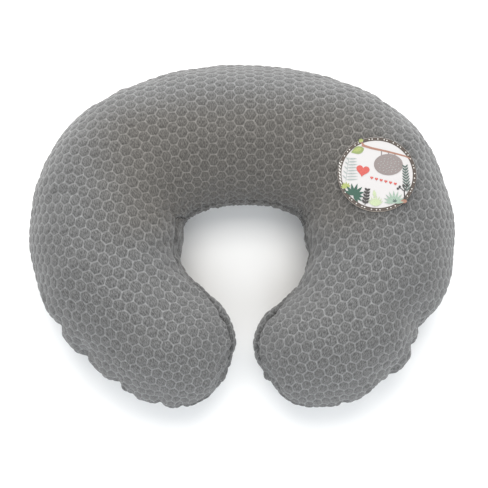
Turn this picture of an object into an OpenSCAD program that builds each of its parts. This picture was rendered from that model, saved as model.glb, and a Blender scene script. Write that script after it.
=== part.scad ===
// C-shaped nursing pillow: a zipped puffy-knit cover over a filled inner pillow,
// with a round card fixed on its right shoulder.
// It lies flat on Z = 0, +Y runs to the back of the C, and the arms open towards -Y.

/* [Outline of the C] */
// Radius of the centreline round the back
back_r = 236; // [200:1:260]
// Turn from the middle of the back to a shoulder, degrees
back_angle = 24; // [20:1:28]
// Radius of the centreline round a shoulder
shoulder_r = 124; // [115:1:135]
// Radius of the centreline along an arm
arm_r = 149; // [140:1:160]
// Turn of an arm from the widest point to its rounded tip, degrees
arm_angle = 58; // [50:1:60]

/* [Thickness] */
// Half the width of the roll at the back
back_half_w = 88; // [80:1:92]
// Half the width of the roll at the widest point of the C
side_half_w = 91; // [84:1:94]
// Half the width of the roll halfway down an arm
arm_half_w = 80; // [76:1:86]
// Half the width of the roll where the tip begins to round off
tip_half_w = 77; // [70:1:82]
// Length of the rounded tip
tip_len = 88; // [70:1:95]
// Height of the pillow at the back and sides
pillow_h = 152; // [140:1:165]
// Height of the pillow at the tips
tip_h = 140; // [125:1:150]

/* [Cover and inner pillow] */
// Thickness of the puffy knit
cover_t = 2; // [1.5:0.1:2.5]
// Space between the cover and the inner pillow, where the zipper tape lies
slack = 0.8; // [0.7:0.1:1.2]
// Thickness of the inner pillow's woven casing
casing_t = 0.6; // [0.5:0.1:1]

/* [Zipper] */
// Half the turn of the zipper round the back, degrees
zipper_half_angle = 22; // [15:0.5:22]
// Height of the slot between the cover's panels, where the zipper shows
slot_h = 9; // [8.8:0.1:10]
// Height of each zipper tape
tape_h = 12; // [10:0.5:14]
// Diameter of a coil
coil_d = 1.8; // [1.6:0.1:2]
// Length of the pull tab
pull_len = 26; // [18:1:32]

/* [Round card] */
// Diameter of the card
card_d = 92; // [80:1:96]
// Thickness of the card's board
board_t = 1.8; // [1:0.1:2.5]
// Diameter of the hook pad under the card
hook_pad_d = 32; // [20:1:40]

/* [Labels] */
// Width of the care label
care_label_w = 30; // [20:1:40]
// Thickness of a label
label_t = 0.4; // [0.3:0.05:0.5]

/* [Hidden] */

knit_grey = [0.47, 0.46, 0.45];
lower_grey = [0.42, 0.41, 0.40];
casing_white = [0.93, 0.93, 0.90];
fill_white = [0.98, 0.98, 0.97];
zip_grey = [0.52, 0.51, 0.50];
coil_grey = [0.36, 0.35, 0.35];
slider_grey = [0.60, 0.60, 0.61];
label_white = [0.95, 0.95, 0.93];
card_cream = [0.96, 0.95, 0.91];
board_white = [0.85, 0.84, 0.80];
pad_black = [0.15, 0.15, 0.16];

// Gap between soft solids on different bodies
body_gap = 0.3;
// Powers that shape the section: 1 is an ellipse, less is squarer
side_power = 0.92;
crown_power = 0.95;
belly_power = 0.9;
// The belly is cut flat where it would reach below the floor
belly_depth = 1.04;

seam_z = pillow_h / 2;
// Middle of the arc of the widest point of the C, which all arcs are laid out from
shoulder_x = (back_r - shoulder_r) * sin(back_angle);
shoulder_y = (back_r - shoulder_r) * cos(back_angle) - back_r;
back_len = back_r * back_angle * PI / 180;
shoulder_len = shoulder_r * (90 - back_angle) * PI / 180;
arm_len = arm_r * arm_angle * PI / 180;
cut_len = back_len + shoulder_len;
tip_start = cut_len + arm_len;

// Steps of the soft surfaces: along the back, round a shoulder, along an arm, round a tip
back_steps = 8;
shoulder_steps = 7;
arm_steps = 7;
tip_steps = 7;
half_steps = 14;

function ease(t) = let (c = min(max(t, 0), 1)) c * c * (3 - 2 * c);
function mix(a, b, t) = a + (b - a) * t;
function signed_power(v, p) = sign(v) * pow(abs(v), p);

// Clockwise turn of the centreline from +X at a distance s from the middle of the back
function turn(s) =
    s <= back_len ? s / back_r * 180 / PI :
    s <= cut_len ? back_angle + (s - back_len) / shoulder_r * 180 / PI :
    90 + (s - cut_len) / arm_r * 180 / PI;

// Centreline of the right half, with the middle of the back at [0, 0]
function centre(s) =
    let (h = turn(s))
    s <= back_len ? [back_r * sin(h), back_r * (cos(h) - 1)] :
    s <= cut_len ? [shoulder_x + shoulder_r * sin(h), shoulder_y + shoulder_r * cos(h)] :
    [shoulder_x + shoulder_r - arm_r + arm_r * sin(h), shoulder_y + arm_r * cos(h)];

function half_width(s) =
    s <= back_len ? back_half_w :
    s <= cut_len ? mix(back_half_w, side_half_w, ease((s - back_len) / shoulder_len)) :
    let (t = 2 * (s - cut_len) / arm_len)
    t <= 1 ? mix(side_half_w, arm_half_w, ease(t)) : mix(arm_half_w, tip_half_w, ease(t - 1));
function half_height(s) = mix(pillow_h, tip_h, ease((s - cut_len) / arm_len)) / 2;

// A station is [centre, turn, half width, half height, share of the section, share of the tip]
function station(s, side = 1, shift = 0) = [
    [side * centre(s)[0], centre(s)[1] + shift],
    side * turn(s), half_width(s), half_height(s), 1, 0
];
function tip_station(angle) = [
    centre(tip_start), turn(tip_start), half_width(tip_start), half_height(tip_start),
    cos(angle), sin(angle)
];

// Point of the section at an angle from the outer seam, over the crown and round the belly
function section(a, b, angle, inset) =
    let (c = cos(angle), s = sin(angle))
    [
        (a - inset) * signed_power(c, side_power),
        s >= 0 ? (b - inset) * pow(s, crown_power)
               : -min(b - inset, (b * belly_depth - inset) * pow(-s, belly_power))
    ];

function surface_point(st, angle, inset) =
    let (
        q = section(st[2], st[3], angle, inset) * st[4],
        out = [sin(st[1]), cos(st[1])],
        along = [cos(st[1]), -sin(st[1])],
        p = st[0] + out * q[0] + along * (tip_len - inset) * st[5]
    )
    [p[0], p[1] + origin_shift, st[3] + q[1]];

back_stations = concat(
    [station(cut_len, -1, body_gap / 2)],
    [for (i = [shoulder_steps - 1 : -1 : 1]) station(back_len + shoulder_len * i / shoulder_steps, -1)],
    [for (i = [back_steps : -1 : 1]) station(back_len * i / back_steps, -1)],
    [for (i = [0 : back_steps]) station(back_len * i / back_steps)],
    [for (i = [1 : shoulder_steps - 1]) station(back_len + shoulder_len * i / shoulder_steps)],
    [station(cut_len, 1, body_gap / 2)]
);
arm_stations = concat(
    [station(cut_len, 1, -body_gap / 2)],
    [for (i = [1 : arm_steps]) station(cut_len + arm_len * i / arm_steps)],
    [for (i = [1 : tip_steps - 1]) tip_station(90 * i / tip_steps)]
);

// The origin is the middle of the box round the C
tip_low_y = min([for (st = arm_stations, a = [0 : 10 : 180])
    (st[0] + [sin(st[1]), cos(st[1])] * st[2] * st[4] * signed_power(cos(a), side_power)
        + [cos(st[1]), -sin(st[1])] * tip_len * st[5])[1]]);
origin_shift = -(back_half_w + tip_low_y) / 2;

// Zipper: everything lies round the centre of the back's arc
arc_centre_y = origin_shift - back_r;
outer_r = back_r + back_half_w;
slot_angle = asin(slot_h / 2 / seam_z);
tape_r = outer_r - cover_t - slack + 0.1;
tape_t = 0.45;
// Half the gap between the two coils, where the slider's post runs
coil_gap = 0.55;
coil_r = tape_r + tape_t + coil_d / 2;
coil_z = coil_gap + coil_d / 2;
// Depth of the groove that the zipper presses into the inner pillow
zipper_dent = 3.5;
slider_half_angle = 0.9;
stop_half_angle = 0.3;
slider_w = 8;
rest_angle = zipper_half_angle - 2 * slider_half_angle;

function zip_share(st) = st[0][1] > -0.001 + back_r * (cos(zipper_half_angle) - 1) ? 1 : 0;

// Angle from the outer seam at which a cover panel starts: it stands back at the slot
function panel_start(st, slotted) = slotted ? slot_angle * zip_share(st) : 0;
function panel_angle(st, i, slotted, lower) =
    let (a = mix(panel_start(st, slotted), 180, i / half_steps))
    lower ? -a : a;
function dent(st, i, dented) = dented && i == 0 ? zipper_dent * zip_share(st) : 0;

// A cloth panel: half a roll between two insets, open at its cut end and shut at a tip
module panel(stations, inset, t, lower, closed_tip, slotted, dented) {
    n = len(stations);
    m = half_steps + 1;
    sheet = function (d) [for (st = stations, i = [0 : half_steps])
        surface_point(st, panel_angle(st, i, slotted, lower), d + dent(st, i, dented))];
    pole = tip_station(90);
    points = concat(
        sheet(inset), sheet(inset + t),
        closed_tip ? [surface_point(pole, 0, inset), surface_point(pole, 0, inset + t)] : []
    );
    inner = n * m;
    last = (n - 1) * m;
    tip_out = 2 * n * m;
    tip_in = tip_out + 1;
    quad = function (a, b, c, d) [[a, b, c], [a, c, d]];
    // A lower panel is split along the other diagonal, as the roll inside it is
    split = function (a, b, c, d) lower ? quad(b, c, d, a) : quad(a, b, c, d);
    outer_faces = [for (k = [0 : n - 2], i = [0 : m - 2]) each
        split(k * m + i, (k + 1) * m + i, (k + 1) * m + i + 1, k * m + i + 1)];
    inner_faces = [for (k = [0 : n - 2], i = [0 : m - 2]) each
        split(inner + k * m + i, inner + k * m + i + 1,
            inner + (k + 1) * m + i + 1, inner + (k + 1) * m + i)];
    outer_edge = [for (k = [0 : n - 2]) each
        quad(k * m, inner + k * m, inner + (k + 1) * m, (k + 1) * m)];
    inner_edge = [for (k = [0 : n - 2]) each
        quad(k * m + m - 1, (k + 1) * m + m - 1,
            inner + (k + 1) * m + m - 1, inner + k * m + m - 1)];
    start_cut = [for (i = [0 : m - 2]) each quad(i, i + 1, inner + i + 1, inner + i)];
    end_cut = [for (i = [0 : m - 2]) each
        quad(last + i, inner + last + i, inner + last + i + 1, last + i + 1)];
    tip_faces = concat(
        [for (i = [0 : m - 2]) [last + i, tip_out, last + i + 1]],
        [for (i = [0 : m - 2]) [inner + last + i, inner + last + i + 1, tip_in]],
        quad(last, inner + last, tip_in, tip_out),
        quad(last + m - 1, tip_out, tip_in, inner + last + m - 1)
    );
    faces = concat(outer_faces, inner_faces, outer_edge, inner_edge, start_cut,
        closed_tip ? tip_faces : end_cut);
    polyhedron(points, lower ? [for (f = faces) [f[2], f[1], f[0]]] : faces);
}

// The fill: a whole roll at one inset
module roll(stations, inset, closed_tip, dented) {
    n = len(stations);
    m = 2 * half_steps;
    points = concat(
        [for (st = stations, i = [0 : m - 1])
            surface_point(st, 180 * i / half_steps, inset + dent(st, i, dented))],
        [surface_point(stations[0], 0, stations[0][2])],
        [closed_tip ? surface_point(tip_station(90), 0, inset)
                    : surface_point(stations[n - 1], 0, stations[n - 1][2])]
    );
    first = n * m;
    end = first + 1;
    last = (n - 1) * m;
    next = function (i) (i + 1) % m;
    polyhedron(points, concat(
        [for (k = [0 : n - 2], i = [0 : m - 1]) each [
            [k * m + i, (k + 1) * m + i, (k + 1) * m + next(i)],
            [k * m + i, (k + 1) * m + next(i), k * m + next(i)]]],
        [for (i = [0 : m - 1]) [first, i, next(i)]],
        [for (i = [0 : m - 1]) [end, last + next(i), last + i]]
    ));
}

casing_inset = cover_t + slack;
fill_inset = casing_inset + casing_t;

module cover_back(lower) {
    color(lower ? lower_grey : knit_grey)
        panel(back_stations, 0, cover_t, lower, false, true, false);
}
module cover_arm(lower) {
    color(lower ? lower_grey : knit_grey)
        panel(arm_stations, 0, cover_t, lower, true, false, false);
}
module casing_back(lower) {
    color(casing_white)
        panel(back_stations, casing_inset, casing_t, lower, false, false, true);
}
module casing_arm(lower) {
    color(casing_white)
        panel(arm_stations, casing_inset, casing_t, lower, true, false, false);
}
module fill_back() {
    color(fill_white) roll(back_stations, fill_inset, false, true);
}
module fill_arm() {
    color(fill_white) roll(arm_stations, fill_inset, true, false);
}

// Puts a piece drawn at the back's middle round the arc, counted towards -X
module on_arc(angle) {
    translate([0, arc_centre_y, seam_z]) rotate(angle) children();
}
module along_zipper(half_angle) {
    on_arc(90 - half_angle) rotate_extrude(angle = 2 * half_angle, $fn = 360)
        children();
}

// The tape stands up behind the slider, then leans in a little more than the roll's wall does
tape_lean = 1.2;
function wall_drop(z) = tape_lean * back_half_w * (1 - sqrt(1 - pow(z / seam_z, 2)));
module zipper_tape(side) {
    bend = slider_w / 2 + coil_gap;
    top = coil_gap + tape_h;
    color(zip_grey) along_zipper(zipper_half_angle) polygon([
        [tape_r, side * coil_gap],
        [tape_r + tape_t, side * coil_gap],
        [tape_r + tape_t - wall_drop(bend), side * bend],
        [tape_r + tape_t - wall_drop(top), side * top],
        [tape_r - wall_drop(top), side * top],
        [tape_r - wall_drop(bend), side * bend]
    ]);
}
// The coils end between the stops
module zipper_coil(side) {
    color(coil_grey) along_zipper(zipper_half_angle - 2 * stop_half_angle)
        translate([coil_r, side * coil_z]) circle(d = coil_d);
}

// Stops close the coils' ends, just past the slider's travel
stop_len = 3;
stop_h = 2.6;
stop_out = 0.5;
module stop_block(angle, z_low, z_high) {
    on_arc(angle) translate([-stop_len / 2, tape_r + tape_t, z_low])
        cube([stop_len, coil_d + stop_out, z_high - z_low]);
}
module top_stops() {
    angle = zipper_half_angle - stop_half_angle;
    color(slider_grey) {
        stop_block(angle, coil_gap, coil_gap + stop_h);
        stop_block(angle, -coil_gap - stop_h, -coil_gap);
    }
}
module bottom_stop() {
    color(slider_grey)
        stop_block(stop_half_angle - zipper_half_angle, -stop_h - coil_gap, stop_h + coil_gap);
}

// Slider: two plates joined by a post between the coils, with ears for the pull tab
slider_len = 9;
plate_t = 0.9;
slider_gap = 0.3;
front_r = coil_r + coil_d / 2 + slider_gap;
back_plate_r = tape_r - slider_gap - plate_t;
flange_w = 0.8;
flange_depth = 1.1;
post_w = 0.6;
post_len = 3;
ear_w = 0.9;
ear_gap = 2.4;
ear_len = 3.6;
pin_r = 0.7;
pin_clearance = 0.06;
pin_out = front_r + plate_t + 1.5;
tab_w = 6;
tab_t = 1.1;
eye_r = 1.4;
module slider_plate(r) {
    intersection() {
        translate([-slider_len / 2, r, -slider_w / 2]) cube([slider_len, plate_t, slider_w]);
        translate([0, r + plate_t, 0]) rotate([90, 0, 0])
            cylinder(h = plate_t, d = slider_len * 1.16, $fn = 96);
    }
}
module slider_body() {
    color(slider_grey) on_arc(rest_angle) {
        slider_plate(front_r);
        slider_plate(back_plate_r);
        translate([-post_len / 2, back_plate_r, -post_w / 2])
            cube([post_len, front_r - back_plate_r + plate_t, post_w]);
        for (side = [-1, 1]) {
            translate([-slider_len / 4, front_r - flange_depth,
                side * (slider_w - flange_w) / 2 - flange_w / 2])
                cube([slider_len / 2, flange_depth + plate_t / 2, flange_w]);
            translate([0, 0, side * (ear_gap + ear_w) / 2 - ear_w / 2]) hull() {
                translate([-ear_len / 2, front_r + plate_t / 2, 0]) cube([ear_len, 0.5, ear_w]);
                translate([0, pin_out, 0]) cylinder(h = ear_w, r = eye_r, $fn = 32);
            }
        }
        translate([0, pin_out, -ear_gap / 2 - ear_w / 2])
            cylinder(h = ear_gap + ear_w, r = pin_r, $fn = 48);
    }
}
module pull_tab() {
    eye_h = ear_gap - 2 * slider_gap;
    color(slider_grey) on_arc(rest_angle) translate([0, pin_out, 0]) difference() {
        union() {
            translate([0, 0, -eye_h / 2]) cylinder(h = eye_h, r = eye_r, $fn = 48);
            translate([0, -tab_t / 2, -eye_h / 2]) cube([ear_len, tab_t, eye_h]);
            translate([ear_len, tab_t / 2, 0]) rotate([90, 0, 0]) linear_extrude(tab_t)
                difference() {
                    union() {
                        translate([0, -tab_w / 2]) square([pull_len - ear_len - tab_w / 2, tab_w]);
                        translate([pull_len - ear_len - tab_w / 2, 0]) circle(d = tab_w, $fn = 64);
                    }
                    translate([pull_len - ear_len - tab_w / 2, 0]) circle(d = tab_w / 2.4, $fn = 48);
                }
        }
        translate([0, 0, -eye_h]) cylinder(h = 2 * eye_h, r = pin_r + pin_clearance, $fn = 48);
    }
}

// A label that follows the roll's left side, over lists of distances and section angles
module label(distances, angles, inset) {
    m = len(angles);
    n = len(distances);
    sheet = function (d) [for (s = distances, a = angles) surface_point(station(s, -1), a, d)];
    b = n * m;
    quad = function (p, q, r, s) [[p, q, r], [p, r, s]];
    polyhedron(concat(sheet(inset), sheet(inset + label_t)), concat(
        [for (k = [0 : n - 2], i = [0 : m - 2]) each
            quad(k * m + i, k * m + i + 1, (k + 1) * m + i + 1, (k + 1) * m + i)],
        [for (k = [0 : n - 2], i = [0 : m - 2]) each
            quad(b + k * m + i, b + (k + 1) * m + i, b + (k + 1) * m + i + 1, b + k * m + i + 1)],
        [for (k = [0 : n - 2]) each quad(k * m, (k + 1) * m, b + (k + 1) * m, b + k * m)],
        [for (k = [1 : n - 1]) each
            quad(k * m - 1, b + k * m - 1, b + (k + 1) * m - 1, (k + 1) * m - 1)],
        [for (i = [0 : m - 2]) each quad(i, b + i, b + i + 1, i + 1)],
        [for (i = [0 : m - 2]) each
            quad(b - m + i, b - m + i + 1, 2 * b - m + i + 1, 2 * b - m + i)]
    ));
}
// The care label hangs from the cover's seam over the bottom panel, past the zipper's end
module care_label() {
    color(label_white) label(
        [for (k = [-2 : 2]) back_len + 40 + care_label_w * k / 4],
        [for (i = [0 : 4]) mix(-1, -32, i / 4)],
        -label_t - 0.5
    );
}
// The law label lies on the casing's bottom panel, inside the cover, on the panel's own facets
module law_label() {
    color(label_white) label(
        [for (k = [2 : back_steps - 1]) back_len * k / back_steps],
        [for (i = [half_steps - 3 : half_steps - 1]) -180 * i / half_steps],
        cover_t + (slack - label_t) / 2
    );
}

// Round card: it touches the roll at one point, and its parts are stacked along its normal
card_s = back_len + 91;
card_angle = 91;
card_tilt = atan2(cos(card_angle) / half_width(card_s), sin(card_angle) / half_height(card_s));
hook_pad_t = 1.2;
face_t = 0.4;
module on_card(height) {
    st = station(card_s);
    p = surface_point(st, card_angle, 0);
    translate(p) rotate([0, card_tilt, 90 - st[1]]) translate([0, 0, body_gap + height]) children();
}
module card_hook_pad() {
    color(pad_black) on_card(0) cylinder(h = hook_pad_t, d = hook_pad_d, $fn = 96);
}
module card_board() {
    color(board_white) on_card(hook_pad_t) cylinder(h = board_t, d = card_d, $fn = 180);
}
module card_face() {
    color(card_cream) on_card(hook_pad_t + board_t) cylinder(h = face_t, d = card_d, $fn = 180);
}

cover_back(false);  // cover_top_back
cover_back(true);  // cover_bottom_back
mirror([1, 0, 0]) cover_arm(false);  // cover_top_left_arm
mirror([1, 0, 0]) cover_arm(true);  // cover_bottom_left_arm
cover_arm(false);  // cover_top_right_arm
cover_arm(true);  // cover_bottom_right_arm
casing_back(false);  // casing_top_back
casing_back(true);  // casing_bottom_back
mirror([1, 0, 0]) casing_arm(false);  // casing_top_left_arm
mirror([1, 0, 0]) casing_arm(true);  // casing_bottom_left_arm
casing_arm(false);  // casing_top_right_arm
casing_arm(true);  // casing_bottom_right_arm
fill_back();
mirror([1, 0, 0]) fill_arm();  // fill_left_arm
fill_arm();  // fill_right_arm
zipper_tape(1);  // zipper_tape_upper
zipper_tape(-1);  // zipper_tape_lower
zipper_coil(1);  // zipper_coil_upper
zipper_coil(-1);  // zipper_coil_lower
top_stops();  // zipper_top_stops
bottom_stop();  // zipper_bottom_stop
slider_body();  // zipper_slider
pull_tab();  // zipper_pull_tab
care_label();
law_label();
card_face();
card_board();
card_hook_pad();
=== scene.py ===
"""Looks of the nursing pillow: puffy-knit cover, casing and fill, zipper, labels and card."""

import math

import bmesh
import bpy
import numpy as np
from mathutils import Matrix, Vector


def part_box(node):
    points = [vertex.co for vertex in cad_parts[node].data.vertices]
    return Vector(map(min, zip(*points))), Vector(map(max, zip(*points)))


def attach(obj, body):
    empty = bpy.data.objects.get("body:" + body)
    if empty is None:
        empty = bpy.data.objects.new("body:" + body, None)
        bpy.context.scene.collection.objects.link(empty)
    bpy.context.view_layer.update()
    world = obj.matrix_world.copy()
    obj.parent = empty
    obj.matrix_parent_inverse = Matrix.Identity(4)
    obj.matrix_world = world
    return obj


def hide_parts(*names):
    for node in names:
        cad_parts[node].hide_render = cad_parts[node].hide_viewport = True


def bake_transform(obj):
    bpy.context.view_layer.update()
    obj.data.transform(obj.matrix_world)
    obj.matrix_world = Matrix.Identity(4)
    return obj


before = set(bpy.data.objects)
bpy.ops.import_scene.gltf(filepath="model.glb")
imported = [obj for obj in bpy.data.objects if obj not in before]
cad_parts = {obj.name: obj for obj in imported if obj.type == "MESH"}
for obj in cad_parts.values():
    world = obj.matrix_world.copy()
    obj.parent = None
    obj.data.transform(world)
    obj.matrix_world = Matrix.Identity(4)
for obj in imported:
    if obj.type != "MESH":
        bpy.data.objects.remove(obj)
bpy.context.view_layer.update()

# ---------------- camera
CAMERA_ELEVATION = math.radians(73.4)
CAMERA_TURN = math.radians(-0.6)
CAMERA_DISTANCE = 1.5
CAMERA_TARGET = Vector((0.0006, -0.0165, 0.07))
LENS = 90.5


def add_object(name, data):
    obj = bpy.data.objects.new(name, data)
    bpy.context.scene.collection.objects.link(obj)
    return obj


def add_camera():
    data = bpy.data.cameras.new("camera")
    data.lens = LENS
    camera = add_object("camera", data)
    level = math.cos(CAMERA_ELEVATION)
    back = Vector((math.sin(CAMERA_TURN) * level, -math.cos(CAMERA_TURN) * level, math.sin(CAMERA_ELEVATION)))
    camera.location = CAMERA_TARGET + back * CAMERA_DISTANCE
    camera.rotation_euler = back.to_track_quat("Z", "Y").to_euler()
    bpy.context.scene.camera = camera


add_camera()
bpy.context.scene.view_settings.view_transform = "Standard"

# ---------------- sizes, as in the CAD, in metres
BACK_R, SHOULDER_R, ARM_R = 0.236, 0.124, 0.149
BACK_ANGLE, ARM_ANGLE = math.radians(24), math.radians(58)
BACK_HALF_W, SIDE_HALF_W, ARM_HALF_W, TIP_HALF_W = 0.088, 0.091, 0.080, 0.077
TIP_LEN, PILLOW_H, TIP_H = 0.088, 0.152, 0.140
COVER_T, SLACK, CASING_T = 0.002, 0.0008, 0.0006
SIDE_POWER, CROWN_POWER, BELLY_POWER, BELLY_DEPTH = 0.92, 0.95, 0.9, 1.04
ZIPPER_HALF_ANGLE = math.radians(22)
SLOT_H, TAPE_H, COIL_D, COIL_GAP = 0.009, 0.012, 0.0018, 0.00055

BACK_LEN = BACK_R * BACK_ANGLE
SHOULDER_LEN = SHOULDER_R * (math.pi / 2 - BACK_ANGLE)
ARM_LEN = ARM_R * ARM_ANGLE
CUT_LEN = BACK_LEN + SHOULDER_LEN
TIP_START = CUT_LEN + ARM_LEN
END = TIP_START + TIP_LEN * math.pi / 2
SHOULDER_X = (BACK_R - SHOULDER_R) * math.sin(BACK_ANGLE)
SHOULDER_Y = (BACK_R - SHOULDER_R) * math.cos(BACK_ANGLE) - BACK_R
# The back's outermost point is on the rim of the CAD cover
ORIGIN_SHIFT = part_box("cover_top_back")[1].y - BACK_HALF_W
ARC_CENTRE_Y = ORIGIN_SHIFT - BACK_R
SEAM_Z = PILLOW_H / 2


def ease(t):
    t = np.clip(t, 0, 1)
    return t * t * (3 - 2 * t)


def mix(a, b, t):
    return a + (b - a) * t


def bump(x, middle, width):
    """A smooth hump of height 1 round a middle."""
    return np.exp(-(((x - middle) / width) ** 2))


def turn(s):
    """Clockwise turn of the right half's centreline from +X, a distance s from the middle of the back."""
    return np.where(
        s <= BACK_LEN,
        s / BACK_R,
        np.where(s <= CUT_LEN, BACK_ANGLE + (s - BACK_LEN) / SHOULDER_R, math.pi / 2 + (s - CUT_LEN) / ARM_R),
    )


def centre(s):
    h = turn(s)
    x = np.where(
        s <= BACK_LEN,
        BACK_R * np.sin(h),
        SHOULDER_X + np.where(s <= CUT_LEN, SHOULDER_R * np.sin(h), SHOULDER_R - ARM_R + ARM_R * np.sin(h)),
    )
    y = np.where(
        s <= BACK_LEN,
        BACK_R * (np.cos(h) - 1),
        SHOULDER_Y + np.where(s <= CUT_LEN, SHOULDER_R, ARM_R) * np.cos(h),
    )
    return x, y + ORIGIN_SHIFT


def half_width(s):
    t = 2 * (s - CUT_LEN) / ARM_LEN
    arm = np.where(
        t <= 1, mix(SIDE_HALF_W, ARM_HALF_W, ease(t)), mix(ARM_HALF_W, TIP_HALF_W, ease(t - 1))
    )
    return np.where(s <= CUT_LEN, mix(BACK_HALF_W, SIDE_HALF_W, ease((s - BACK_LEN) / SHOULDER_LEN)), arm)


def half_height(s):
    return mix(PILLOW_H, TIP_H, ease((s - CUT_LEN) / ARM_LEN)) / 2


def along_roll(t):
    """Side of the C, distance along its centreline, and turn round the end of its tip."""
    far = np.abs(t)
    tip = np.clip((far - TIP_START) / TIP_LEN, 0, math.pi / 2)
    return np.where(t < 0, -1.0, 1.0), np.minimum(far, TIP_START), tip


def roll(t, angle, inset=0.0):
    """Points of the pillow's roll. t is the distance along it: below 0 is the left half, and past
    TIP_START it goes round the tip. angle is 0 at the outer seam, pi/2 at the crown, pi at the inner
    seam, and below 0 under the pillow."""
    side, s, tip = along_roll(t)
    x, y = centre(s)
    h, a, b = turn(s), half_width(s), half_height(s)
    c, up = np.cos(angle), np.sin(angle)
    out = (a - inset) * np.sign(c) * np.abs(c) ** SIDE_POWER * np.cos(tip)
    crown = (b - inset) * np.abs(up) ** CROWN_POWER
    belly = -np.minimum(b - inset, (b * BELLY_DEPTH - inset) * np.abs(up) ** BELLY_POWER)
    height = np.where(up >= 0, crown, belly) * np.cos(tip)
    along = (TIP_LEN - inset) * np.sin(tip)
    px = x + np.sin(h) * out + np.cos(h) * along
    py = y + np.cos(h) * out - np.sin(h) * along
    return np.stack(np.broadcast_arrays(side * px, py, b + height), -1)


# ---------------- knit pattern
CELL_PITCH = 0.0135
COLUMN_GAP = CELL_PITCH * math.sqrt(3) / 2
# The cut pieces bend less than the finished C, so the knit turns on the arms
ARM_KNIT_TURN = math.radians(19)
ARM_KNIT_STRETCH = 1.06


def flat_centreline():
    """Heading and place of the centreline in the flat piece of cloth, at steps along the right half."""
    s = np.linspace(0, TIP_START, 800)
    heading = turn(s) - ARM_KNIT_TURN * ease(s / (CUT_LEN + 0.03))
    step = np.gradient(s) / mix(1, ARM_KNIT_STRETCH, ease((s - BACK_LEN) / SHOULDER_LEN))
    x = np.cumsum(np.cos(heading) * step)
    y = np.cumsum(-np.sin(heading) * step)
    return s, heading, x - x[0], y - y[0]


FLAT = flat_centreline()


def spare_cloth(theta, half_w):
    """How much further the cloth runs than its plan width, theta from the crown round the section."""
    ref = np.linspace(0, math.pi / 2, 200)
    x = BACK_HALF_W * np.sin(ref) ** SIDE_POWER
    z = SEAM_Z * np.cos(ref) ** CROWN_POWER
    arc = np.concatenate([[0], np.cumsum(np.hypot(np.diff(x), np.diff(z)))])
    return np.interp(theta, ref, arc - x) * half_w / BACK_HALF_W


def knit_place(t, angle):
    """Place of a point in the flat cloth, in metres, columns of cells along y."""
    side, s, tip = along_roll(t)
    heading = np.interp(s, FLAT[0], FLAT[1])
    x0, y0 = np.interp(s, FLAT[0], FLAT[2]), np.interp(s, FLAT[0], FLAT[3])
    half_w = half_width(s)
    c = np.cos(angle)
    out = half_w * np.sign(c) * np.abs(c) ** SIDE_POWER * np.cos(tip)
    along = TIP_LEN * np.sin(tip)
    theta = np.arccos(np.clip(np.cos(tip) * np.abs(np.sin(angle)), 0, 1))
    spare = spare_cloth(theta, half_w)
    # Down the sides the spare cloth runs straight back near the middle, and square to the roll on the arms
    lean = heading * ease(heading / math.radians(60))
    reach = np.maximum(np.hypot(out, along), 1e-9)
    ox, oy = out / reach, along / reach
    x = x0 + np.sin(heading) * out + np.cos(heading) * along
    y = y0 + np.cos(heading) * out - np.sin(heading) * along
    x = x + spare * (np.sin(lean) * ox + np.cos(heading) * oy)
    y = y + spare * (np.cos(lean) * ox - np.sin(heading) * oy)
    return np.stack([side * x + 0.002, y], -1)


def cell_edge(place):
    """0 in the middle of a six-sided cell and 1 on its edge."""
    half = CELL_PITCH / 2
    x = np.abs((place[..., 0] + COLUMN_GAP) % (2 * COLUMN_GAP) - COLUMN_GAP)
    y = np.abs((place[..., 1] + half) % CELL_PITCH - half)
    near = np.maximum(y, x * math.sqrt(3) / 2 + y / 2)
    x, y = COLUMN_GAP - x, half - y
    return np.minimum(near, np.maximum(y, x * math.sqrt(3) / 2 + y / 2)) / half


def smooth_noise(place, size, seed):
    """Smooth noise in about -1..1 whose lumps are about size across: a few waves in all directions."""
    rng = np.random.default_rng(seed)
    x, y = place[..., 0], place[..., 1]
    total = 0
    for _ in range(14):
        way, phase = rng.uniform(0, 2 * math.pi, 2)
        k = 2 * math.pi / size * rng.uniform(0.6, 1.4)
        total = total + np.sin(k * (x * math.cos(way) + y * math.sin(way)) + phase)
    return total / 4.5


# ---------------- shape of the cover
ROW_STEP = 0.00125
COLUMNS = 200
CELL_HEIGHT = 0.0011
SEAM_DEPTH = 0.0022
SEAM_WIDTH = 0.0032
HEM_DEPTH, SLOT_HEM_DEPTH = 0.004, 0.0019
# Tucks where the outer seam is gathered round the arms: distance along the roll and depth
LEFT_TUCKS = [
    (0.318, 0.0070), (0.348, 0.0065), (0.381, 0.0080), (0.398, 0.0045), (0.435, 0.0045), (0.462, 0.0030),
]
RIGHT_TUCKS = [
    (0.324, 0.0060), (0.340, 0.0060), (0.368, 0.0060), (0.378, 0.0040), (0.420, 0.0035), (0.506, 0.0040),
    (0.519, 0.0030),
]
TUCK_REACH, LOBE_HEIGHT, LOBE_REACH = 0.026, 0.0025, 0.022
LOW_WAVE, CROWDED_WAVE = 0.0010, 0.0012
# How deep the inner seam folds in at a tip, and how far each panel stands out beside that fold
LIP_CREASE, LIP_BULGE, LIP_OVERHANG = 0.005, 0.0038, 0.0026
# Shifts of the outer wall, round the C: distance along the roll, width and size
OUTLINE_SHIFTS = [
    (-0.430, 0.018, -0.0020), (-0.375, 0.060, -0.0045), (-0.362, 0.016, -0.0030), (-0.300, 0.030, 0.0055),
    (-0.255, 0.060, -0.0042), (-0.165, 0.060, 0.0062), (-0.128, 0.030, 0.0025), (-0.010, 0.120, -0.0045),
    (0.125, 0.035, 0.0020), (0.150, 0.035, 0.0015), (0.170, 0.012, 0.0025), (0.258, 0.055, -0.0070),
    (0.282, 0.022, 0.0060), (0.325, 0.016, -0.0070), (0.350, 0.014, 0.0030), (0.387, 0.018, 0.0025),
    (0.440, 0.020, -0.0020), (0.485, 0.020, 0.0025),
]
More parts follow.
